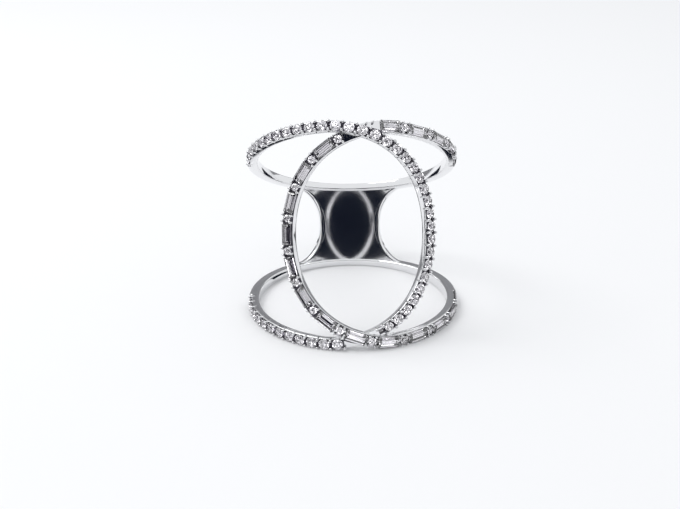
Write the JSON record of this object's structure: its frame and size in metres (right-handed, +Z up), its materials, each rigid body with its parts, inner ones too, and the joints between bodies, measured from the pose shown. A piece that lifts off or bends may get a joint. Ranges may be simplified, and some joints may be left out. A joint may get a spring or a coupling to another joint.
{
  "type": "baguette diamond ring",
  "caption": "Open ring whose leaning shanks cross at the front round an upright oval, set with baguette and round stones, with a waisted plate at the back.",
  "frame": {"origin": "on the table, under the middle of the ring's box", "axes": "+Z up, -Y the jewelled front with its upright oval, +Y the plain back with its plate; the finger opening's axis leans 17.8 degrees back from +Z"},
  "size_m": [0.0193, 0.0223, 0.0188],
  "materials": {
    "white_gold": "polished",
    "diamond": "faceted"
  },
  "bodies": {
    "root": {"band": "white_gold", "round_stones": "diamond", "accent_stones": "diamond", "baguette_01": "diamond", "baguette_02": "diamond", "baguette_03": "diamond", "baguette_04": "diamond", "baguette_05": "diamond", "baguette_06": "diamond", "baguette_07": "diamond", "baguette_08": "diamond", "baguette_09": "diamond", "baguette_10": "diamond", "baguette_11": "diamond", "baguette_12": "diamond", "baguette_13": "diamond", "baguette_14": "diamond", "baguette_15": "diamond", "baguette_16": "diamond", "baguette_17": "diamond", "baguette_18": "diamond"}
  },
  "joints": []
}
